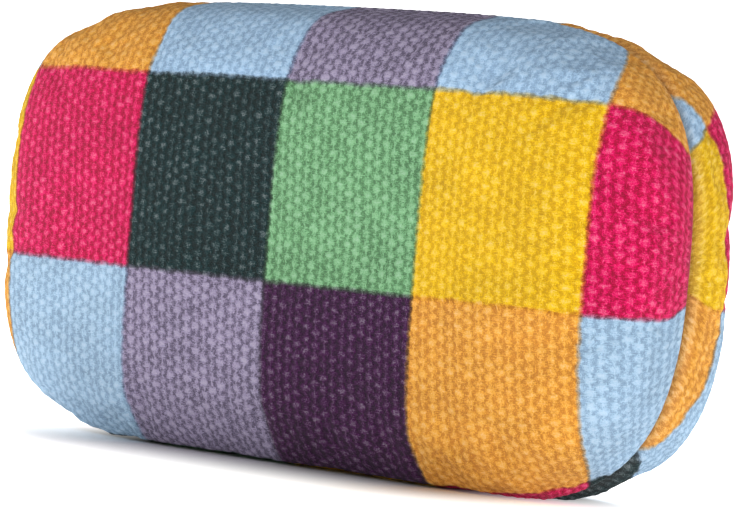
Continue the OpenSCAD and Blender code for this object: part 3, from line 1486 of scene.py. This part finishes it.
@dataclass(frozen=True)
class CheckPalette:
    """The inks of the print, row by row, as screen colours, with the light blue painted lighter in the
    top row.
    """

    yellow: Colour = colour(226, 184, 2)
    pink: Colour = colour(214, 2, 94)
    dark_green: Colour = colour(0, 44, 46)
    green: Colour = colour(122, 174, 126)
    light_blue: Colour = colour(162, 190, 213)
    # Painted light: the light blue ink again, painted a little lighter for the top row for how light
    # falls there
    lit_top_blue: Colour = colour(164, 194, 220)
    mauve: Colour = colour(150, 139, 166)
    purple: Colour = colour(66, 4, 68)
    orange: Colour = colour(227, 165, 62)

    def rows(self) -> list[list[Colour]]:
        """The colours of one repeat.

        Returns:
            Four rows from the top down, each of four colours from left to right.
        """
        return [
            [self.lit_top_blue, self.orange, self.lit_top_blue, self.mauve],
            [self.yellow, self.pink, self.dark_green, self.green],
            [self.orange, self.light_blue, self.mauve, self.purple],
            [self.pink, self.dark_green, self.green, self.yellow],
        ]


@dataclass(frozen=True)
class PrintedCanvas:
    """Canvas printed with squares of ink that overlap a little where they meet."""

    effects: SharedEffects
    palette: CheckPalette = field(default_factory=CheckPalette)
    overlap: float = 0.017
    wetness: float = 0.45
    bleed: float = 0.035
    unevenness: float = 0.9
    hollow: float = 0.8
    grain: float = 3.0
    speckle: float = 4.0
    pale_bounce: float = 0.5
    # How far the crowns pale: partly loose pale fibres, partly a painted highlight
    frost_and_highlight: float = 0.15
    # How far the seam roll pales: partly rubbing, partly a painted sheen
    seam_wear_and_sheen: float = 0.10
    relief: float = 0.06 * MM
    raw_cloth: Colour = colour(226, 217, 200)
    # The whitish grey of loose fibres and of the painted highlight and sheen on crowns and seam roll
    fuzz_and_sheen_grey: Colour = (0.82, 0.84, 0.86, 1.0)
    patchiness: float = 0.10
    fibre_fineness: float = 1.3
    speck_fineness: float = 3.4
    fuzz_middle: float = 0.55
    wear_and_sheen_depth: tuple[float, float] = (0.3 * MM, 1.7 * MM)

    def ink_group(self) -> bpy.types.NodeTree:
        """The ink of the square that a place lies in.

        The place in ramp is (4 row + column + 1/2) / 16, with row and column counted
        modulo 4.

        Returns:
            The group: Ink.
        """
        bench, given, made = start_group("square of ink", {"Squares": VECTOR}, {"Ink": COLOUR})
        axes = bench.add("ShaderNodeSeparateXYZ", given.outputs[0])
        column, row = (bench.maths("FLOORED_MODULO", bench.maths("FLOOR", axis), 4.0)
                       for axis in axes.outputs[:2])
        place = bench.maths("MULTIPLY_ADD", row, 4.0, column)
        place = bench.maths("DIVIDE", bench.maths("ADD", place, 0.5), 16.0)
        ramp = bench.add("ShaderNodeValToRGB", place)
        ramp.color_ramp.interpolation = "CONSTANT"
        inks = [ink for row_inks in self.palette.rows() for ink in row_inks]
        elements = ramp.color_ramp.elements
        elements.remove(elements[1])
        elements[0].position, elements[0].color = 0.0, inks[0]
        for index, ink in enumerate(inks[1:], start=1):
            elements.new(index / 16).color = ink
        bench.join(ramp.outputs[0], made.inputs["Ink"])
        return bench.tree

    def print_group(self) -> bpy.types.NodeTree:
        """The print at a place, with the inks laid over each other where squares meet.

        The ink is looked up one overlap away to each diagonal. With d the distance past the
        nearest line between squares, the neighbours blend by a = smoothstep(d) over the
        overlap, and their product goes in by 4 a (1 - a) times the wetness.

        Returns:
            The group: Ink.
        """
        square = self.ink_group()
        bench, given, made = start_group(
            "printed checks", {"Squares": VECTOR, "Overlap": FLOAT, "Wetness": FLOAT},
            {"Ink": COLOUR})
        place, overlap, wetness = given.outputs[0], given.outputs[1], given.outputs[2]
        axes = bench.add("ShaderNodeSeparateXYZ", place)
        blends = []
        for axis in (0, 1):
            past = bench.maths("SUBTRACT", axes.outputs[axis], bench.maths("ROUND", axes.outputs[axis]))
            share = bench.add("ShaderNodeMapRange", past, bench.maths("MULTIPLY", overlap, -1.0),
                              overlap, 0.0, 1.0, interpolation_type="SMOOTHSTEP").outputs[0]
            other = bench.maths("SUBTRACT", 1.0, share)
            wet = bench.maths("MULTIPLY", bench.maths("MULTIPLY", share, other), 4.0)
            blends.append((share, bench.maths("MULTIPLY", wet, wetness)))
        inks = []
        for across, down in ((-1, -1), (1, -1), (-1, 1), (1, 1)):
            offset = bench.vectors("SCALE", (across, down, 0.0))
            bench.join(overlap, offset.inputs["Scale"])
            moved = bench.vectors("ADD", place, offset.outputs[0]).outputs[0]
            inks.append(bench.group(square, Squares=moved).outputs["Ink"])
        upper = bench.overlay(inks[0], inks[1], *blends[0])
        lower = bench.overlay(inks[2], inks[3], *blends[0])
        bench.join(bench.overlay(upper, lower, *blends[1]), made.inputs["Ink"])
        return bench.tree

    def material(self) -> bpy.types.Material:
        """Builds the material, on the maps squares and yarns and the mask printed.

        The ink gets painted shade in the hollows of the weave, less where it is pale and light
        bounces about in them. The crowns are paled partly by loose fibres and partly by a painted
        highlight, and the roll at the seam is paled partly by rubbing and partly by a painted sheen.

        Returns:
            The material.
        """
        material, bench, shader = start_material("printed_canvas")
        squares = bench.add("ShaderNodeUVMap", uv_map="squares").outputs[0]
        yarns = bench.add("ShaderNodeUVMap", uv_map="yarns").outputs[0]
        weave = bench.group(self.effects.weave, Yarns=yarns, Unevenness=self.unevenness)

        bleeding = bench.add("ShaderNodeTexNoise", yarns, None, 0.8, 3.0, 0.6)
        centred = bench.vectors("SUBTRACT", bleeding.outputs["Color"], (0.5, 0.5, 0.5)).outputs[0]
        bled = bench.vectors("SCALE", centred)
        bled.inputs["Scale"].default_value = self.bleed
        place = bench.vectors("ADD", squares, bled.outputs[0]).outputs[0]
        printed = bench.group(self.print_group(), Squares=place, Overlap=self.overlap,
                              Wetness=self.wetness)

        mask = bench.add("ShaderNodeAttribute", attribute_name="printed").outputs["Fac"]
        cloth = bench.mix(mask, self.raw_cloth, printed.outputs["Ink"])
        patchy = bench.add("ShaderNodeTexNoise", yarns, None, 0.12, 4.0, 0.6).outputs[0]
        patchy = bench.between(patchy, 0.3, 0.7, 0.0, self.patchiness)
        cloth = bench.mix(patchy, cloth, (0.0, 0.0, 0.0, 1.0))
        layers = []
        for fineness, strength in ((self.fibre_fineness, self.grain),
                                   (self.speck_fineness, self.speckle)):
            fuzz = bench.group(self.effects.fuzz, Place=yarns, Fineness=fineness).outputs[0]
            fuzz = bench.maths("SUBTRACT", fuzz, self.fuzz_middle)
            layers.append(bench.maths("MULTIPLY", fuzz, strength))
        height = bench.maths("ADD", weave.outputs["Height"], bench.maths("ADD", *layers))
        lift = bench.between(weave.outputs["Lift"], 0.0, 1.0, -0.08, 0.08)
        # Painted shade: the ink is darkened in the hollows of the weave, where light reaches only in
        # part
        openness = bench.between(bench.maths("ADD", height, lift), -0.1, 0.74,
                                 1.0 - self.hollow, 1.0)
        shaded = bench.group(self.effects.hollows, Colour=cloth, Openness=openness).outputs[0]
        paleness = bench.add("ShaderNodeRGBToBW", cloth).outputs[0]
        shaded = bench.mix(bench.between(paleness, 0.2, 0.6, 0.0, self.pale_bounce), shaded, cloth)
        # Painted highlight: the crowns are paled towards a whitish grey, partly for loose pale fibres
        # and partly as a highlight
        fuzz_and_sheen_share = bench.maths("MULTIPLY", bench.between(height, 0.7, 1.3), self.frost_and_highlight)
        # Partly rubbing and partly painted sheen: the cloth pales near the seam, on the roll, most on
        # its crowns
        depth = bench.add("ShaderNodeSeparateXYZ", bench.add("ShaderNodeTexCoord").outputs["Object"])
        by_seam = bench.maths("ABSOLUTE", depth.outputs[1])
        by_seam = bench.between(by_seam, *self.wear_and_sheen_depth, 1.0, 0.0)
        wear_and_sheen_mask = bench.maths("MULTIPLY", by_seam, bench.between(height, 0.1, 0.9, 0.3, 1.0))
        fuzz_and_sheen_share = bench.maths("MULTIPLY_ADD", wear_and_sheen_mask, self.seam_wear_and_sheen, fuzz_and_sheen_share)
        shaded = bench.mix(fuzz_and_sheen_share, shaded, self.fuzz_and_sheen_grey)
        bench.join(shaded, shader.inputs["Base Color"])
        bench.join(bench.between(height, 0.0, 1.0, 0.95, 0.82), shader.inputs["Roughness"])
        shader.inputs["Sheen Weight"].default_value = 0.06
        shader.inputs["Sheen Roughness"].default_value = 0.5
        shader.inputs["Specular IOR Level"].default_value = 0.12
        bench.join(bench.bump(height, self.relief), shader.inputs["Normal"])
        return material


@dataclass(frozen=True)
class SewingThread:
    """Spun polyester thread in three plies."""

    effects: SharedEffects
    tint: Colour = colour(236, 232, 220)
    plies: int = 3
    relief: float = 0.03 * MM

    def material(self) -> bpy.types.Material:
        """Builds the material, on the map turns.

        Returns:
            The material, with painted shade where two plies meet.
        """
        material, bench, shader = start_material("sewing_thread")
        turns = bench.add("ShaderNodeUVMap", uv_map="turns").outputs[0]
        axes = bench.add("ShaderNodeSeparateXYZ", turns)
        phase = bench.maths("SUBTRACT", axes.outputs[0], axes.outputs[1])
        ply = bench.maths("COSINE", bench.maths("MULTIPLY", phase, self.plies * math.pi))
        ply = bench.maths("ABSOLUTE", ply)
        fuzz = bench.group(self.effects.fuzz, Place=turns, Fineness=6.0)
        height = bench.maths("MULTIPLY_ADD", fuzz.outputs[0], 0.3, ply)
        # Painted shade: the thread is darkened in the grooves between plies
        openness = bench.between(ply, 0.0, 0.8, 0.45, 1.0)
        shaded = bench.group(self.effects.hollows, Colour=self.tint, Openness=openness)
        bench.join(shaded.outputs[0], shader.inputs["Base Color"])
        bench.join(bench.between(ply, 0.0, 1.0, 0.75, 0.5), shader.inputs["Roughness"])
        shader.inputs["Sheen Weight"].default_value = 0.3
        bench.join(bench.bump(height, self.relief), shader.inputs["Normal"])
        return material


@dataclass(frozen=True)
class WaddingFibre:
    """Carded white polyester fibre."""

    effects: SharedEffects
    tint: Colour = colour(244, 244, 240)
    relief: float = 0.2 * MM

    def material(self) -> bpy.types.Material:
        """Builds the material, on Object coordinates.

        Returns:
            The material, of fine fibres over tufts, with painted shade in the hollows between them.
        """
        material, bench, shader = start_material("wadding_fibre")
        place = bench.add("ShaderNodeTexCoord").outputs["Object"]
        fine = bench.group(self.effects.fuzz, Place=place, Fineness=1100.0)
        tufts = bench.add("ShaderNodeTexNoise", place, None, 420.0, 4.0, 0.6)
        height = bench.maths("MULTIPLY_ADD", fine.outputs[0], 0.6, tufts.outputs[0])
        # Painted shade: the fibre is darkened in the hollows between tufts
        openness = bench.between(height, 0.6, 1.0, 0.7, 1.0)
        shaded = bench.group(self.effects.hollows, Colour=self.tint, Openness=openness)
        bench.join(shaded.outputs[0], shader.inputs["Base Color"])
        shader.inputs["Roughness"].default_value = 0.95
        shader.inputs["Sheen Weight"].default_value = 0.5
        bench.join(bench.bump(height, self.relief), shader.inputs["Normal"])
        return material


@dataclass(frozen=True)
class CutFoam:
    """Open-celled foam, yellowed a little."""

    effects: SharedEffects
    tint: Colour = colour(240, 224, 168)
    aged: Colour = colour(214, 186, 116)
    relief: float = 0.15 * MM

    def material(self) -> bpy.types.Material:
        """Builds the material, on Object coordinates.

        Returns:
            The material, of cells with painted shade in their hollows.
        """
        material, bench, shader = start_material("cut_foam")
        place = bench.add("ShaderNodeTexCoord").outputs["Object"]
        cells = bench.add("ShaderNodeTexVoronoi", place, None, 1500.0)
        size = bench.add("ShaderNodeTexNoise", place, None, 200.0, 3.0, 0.5)
        walls = bench.between(cells.outputs["Distance"], 0.0, 0.6, 0.0, 1.0)
        # Painted shade: the foam is darkened inside its cells
        openness = bench.between(walls, 0.0, 1.0, 0.5, 1.0)
        shaded = bench.group(self.effects.hollows, Colour=self.tint, Openness=openness)
        toned = bench.mix(bench.between(size.outputs[0], 0.35, 0.65, 0.0, 0.2),
                          shaded.outputs[0], self.aged)
        bench.join(toned, shader.inputs["Base Color"])
        shader.inputs["Roughness"].default_value = 0.9
        bench.join(bench.bump(walls, self.relief), shader.inputs["Normal"])
        return material


# ---------------------------------------------------------------- the studio


class Receiver(Enum):
    """What a lamp falls on."""

    CUSHION = "lit by the key and the fill"
    FLOOR = "lit from behind"


@dataclass(frozen=True)
class Lamp:
    """A round soft light, aimed at the cushion."""

    name: str
    azimuth: float
    elevation: float
    distance: float
    width: float
    power: float
    receiver: Receiver


@dataclass(frozen=True)
class FloorPaper:
    """Pale matt paper that glows as painted light, except round the patch where the cushion rests,
    which is left as a painted shadow.
    """

    light: Colour = (0.92, 0.92, 0.92, 1.0)
    dark: Colour = (0.85, 0.85, 0.85, 1.0)
    grain: float = 900.0
    grain_strength: float = 0.02
    glow: float = 1.3
    shadow_patch: tuple[float, float] = (22 * MM, 6 * MM)
    glow_reach: float = 30 * MM
    bounce_reach: tuple[float, float] = (0.8, 1.2)

    def material(self) -> bpy.types.Material:
        """Builds the material, on Object coordinates.

        The painted glow rises smoothly with the distance from the patch that the cushion rests on,
        which leaves a painted shadow round that patch. The camera sees it everywhere, and it gives
        light only near the cushion.

        Returns:
            The material.
        """
        material, bench, shader = start_material("floor_paper")
        place = bench.add("ShaderNodeTexCoord").outputs["Object"]
        grain = bench.add("ShaderNodeTexNoise", place, None, self.grain, 2.0, 0.5).outputs[0]
        grain = bench.between(grain, 0.3, 0.7, 0.0, self.grain_strength)
        bench.join(bench.mix(grain, self.light, self.dark), shader.inputs["Base Color"])
        shader.inputs["Roughness"].default_value = 1.0
        shader.inputs["Specular IOR Level"].default_value = 0.0
        # Painted light and shadow: the floor glows, except round the patch under the cushion
        across = bench.vectors("ABSOLUTE", place).outputs[0]
        outside = bench.vectors("SUBTRACT", across, (*self.shadow_patch, 0.0)).outputs[0]
        outside = bench.vectors("MAXIMUM", outside, (0.0, 0.0, 0.0)).outputs[0]
        past = bench.vectors("LENGTH", outside).outputs["Value"]
        glow = bench.between(past, 0.0, self.glow_reach, 0.0, self.glow)
        away = bench.vectors("LENGTH", place).outputs["Value"]
        near = bench.between(away, *self.bounce_reach, 1.0, 0.0)
        seen = bench.add("ShaderNodeLightPath").outputs["Is Camera Ray"]
        glow = bench.maths("MULTIPLY", glow, bench.maths("MAXIMUM", near, seen))
        shader.inputs["Emission Color"].default_value = (1.0, 1.0, 1.0, 1.0)
        bench.join(glow, shader.inputs["Emission Strength"])
        return material


@dataclass
class Studio:
    """A pale floor that sweeps up all round, soft light and the camera."""

    centre: Vector
    surround: float = 0.3
    lamps: tuple[Lamp, ...] = (
        Lamp("back", 223.0, 52.0, 1.0, 0.6, 11.0, Receiver.FLOOR),
        Lamp("key", 0.0, 8.0, 0.8, 0.6, 7.2, Receiver.CUSHION),
        Lamp("fill", 98.0, 6.0, 0.8, 0.5, 5.6, Receiver.CUSHION),
    )
    flat_radius: float = 2.0
    wall_radius: float = 3.0
    wall_height: float = 2.5
    floor_sides: int = 96
    lens: float = 196.77
    distance: float = 0.45525
    azimuth: float = 43.242
    elevation: float = 1.287
    turn: float = 4.923
    aim_right: float = 2.83 * MM
    aim_up: float = -1.42 * MM

    def build_floor(self) -> bpy.types.Object:
        """Builds the floor and its wall as one surface of revolution.

        The profile is flat to the first radius, then a quarter round up to the wall's
        radius, then straight up.

        Returns:
            The floor.
        """
        rise = self.wall_radius - self.flat_radius
        bend = np.linspace(0.0, math.pi / 2, 17)
        radius = np.concatenate([[0.0, 0.5], self.flat_radius + rise * np.sin(bend),
                                 [self.wall_radius]])
        height = np.concatenate([[0.0, 0.0], rise * (1 - np.cos(bend)), [self.wall_height]])
        turn = np.linspace(0.0, 2 * math.pi, self.floor_sides, endpoint=False)
        across = radius[1:, None] * np.cos(turn)
        points = np.stack([across, radius[1:, None] * np.sin(turn),
                           np.broadcast_to(height[1:, None], across.shape)], axis=-1)
        numbers = np.arange(across.size).reshape(across.shape)
        ahead = np.roll(numbers, -1, axis=1)
        quads = np.stack([numbers[:-1], numbers[1:], ahead[1:], ahead[:-1]], axis=-1)
        faces = quads.reshape(-1, 4).tolist() + [numbers[0].tolist()]
        floor = make_piece("floor", points, faces)
        floor.data.materials.append(FloorPaper().material())
        floor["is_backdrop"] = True
        return floor

    def build_lights(self, floor: bpy.types.Object, cushion: Sequence[bpy.types.Object]) -> None:
        """Sets up a white surround and the lamps.

        Args:
            floor: The floor, which the lamp behind falls on.
            cushion: The pieces that the key and the fill fall on.
        """
        scene = bpy.context.scene
        world = bpy.data.worlds.new("surround")
        world.use_nodes = True
        background = world.node_tree.nodes["Background"]
        background.inputs["Color"].default_value = (1.0, 1.0, 1.0, 1.0)
        background.inputs["Strength"].default_value = self.surround
        scene.world = world
        scene.view_settings.view_transform = "Standard"
        lit = {receiver: bpy.data.collections.new(receiver.value) for receiver in Receiver}
        for piece in cushion:
            lit[Receiver.CUSHION].objects.link(piece)
        lit[Receiver.FLOOR].objects.link(floor)
        for lamp_plan in self.lamps:
            light = bpy.data.lights.new(lamp_plan.name, "AREA")
            light.shape = "DISK"
            light.size = lamp_plan.width
            light.energy = lamp_plan.power
            lamp = bpy.data.objects.new(lamp_plan.name, light)
            direction = self.direction(lamp_plan.azimuth, lamp_plan.elevation)
            lamp.location = self.centre + lamp_plan.distance * direction
            lamp.rotation_mode = "QUATERNION"
            lamp.rotation_quaternion = (-direction).to_track_quat("-Z", "Y")
            scene.collection.objects.link(lamp)
            lamp.light_linking.receiver_collection = lit[lamp_plan.receiver]

    @staticmethod
    def direction(azimuth: float, elevation: float) -> Vector:
        """The direction from the object to a viewer.

        Args:
            azimuth: Degrees round from -Y towards +X.
            elevation: Degrees above the horizon.

        Returns:
            (sin a cos e, -cos a cos e, sin e).
        """
        a, e = math.radians(azimuth), math.radians(elevation)
        return Vector((math.sin(a) * math.cos(e), -math.cos(a) * math.cos(e), math.sin(e)))

    def build_camera(self) -> bpy.types.Object:
        """Sets up the camera, turned a little about its own line of sight.

        Returns:
            The camera.
        """
        back = self.direction(self.azimuth, self.elevation)
        right = Vector((math.cos(math.radians(self.azimuth)),
                        math.sin(math.radians(self.azimuth)), 0.0))
        up = back.cross(right)
        aim = self.centre + self.aim_right * right + self.aim_up * up
        turn = math.radians(self.turn)
        across = math.cos(turn) * right + math.sin(turn) * up
        above = math.cos(turn) * up - math.sin(turn) * right
        data = bpy.data.cameras.new("camera")
        data.lens = self.lens
        data.sensor_width = 36.0
        data.clip_start, data.clip_end = 0.01, 20.0
        camera = bpy.data.objects.new("camera", data)
        camera.matrix_world = Matrix((across, above, back)).transposed().to_4x4()
        camera.location = aim + self.distance * back
        bpy.context.scene.collection.objects.link(camera)
        bpy.context.scene.camera = camera
        return camera


# ---------------------------------------------------------------- the whole cushion


def dress(piece: bpy.types.Object, node: str, material: bpy.types.Material) -> bpy.types.Object:
    """Gives a piece its finish and puts it in the place of a CAD node.

    Args:
        piece: The piece.
        node: The node that it stands for.
        material: Its material.

    Returns:
        The piece.
    """
    piece.data.materials.append(material)
    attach(piece, "root")
    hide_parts(node)
    LOG.info("%s: %d triangles", piece.name, triangle_count(piece))
    return piece


def main() -> None:
    """Builds the classes in order, from the frame inwards, fitting the form to the frame's box."""
    logging.basicConfig(level=logging.INFO, format="%(name)s: %(message)s")
    low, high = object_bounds()
    form = CushionForm.from_box(low, high, base_squash=1 * MM)
    studio = Studio(Vector((0.0, 0.0, form.centre_height)))
    floor = studio.build_floor()
    studio.build_camera()

    effects = SharedEffects.make()
    canvas = PrintedCanvas(effects).material()
    thread = SewingThread(effects).material()
    fibre = WaddingFibre(effects).material()
    foam = CutFoam(effects).material()

    for side, seed, seam_thread in ((Side.FRONT, 3, "needle_thread"),
                                    (Side.BACK, 23, "bobbin_thread")):
        half = side.name.lower()
        panel = CanvasPanel(form, side, seed).build()
        dress(panel, f"{half}_panel", canvas)
        sheet = WaddingSheet(form, side, seed).build()
        dress(sheet, f"{half}_wadding", fibre)
        dress(MachineSeam(form).build(side), seam_thread, thread)
    dress(LadderStitch().build(), "closing_thread", thread)
    core = dress(FoamCore(form).build(), "foam_core", foam)
    studio.build_lights(floor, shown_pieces())


if __name__ == "__main__":
    main()
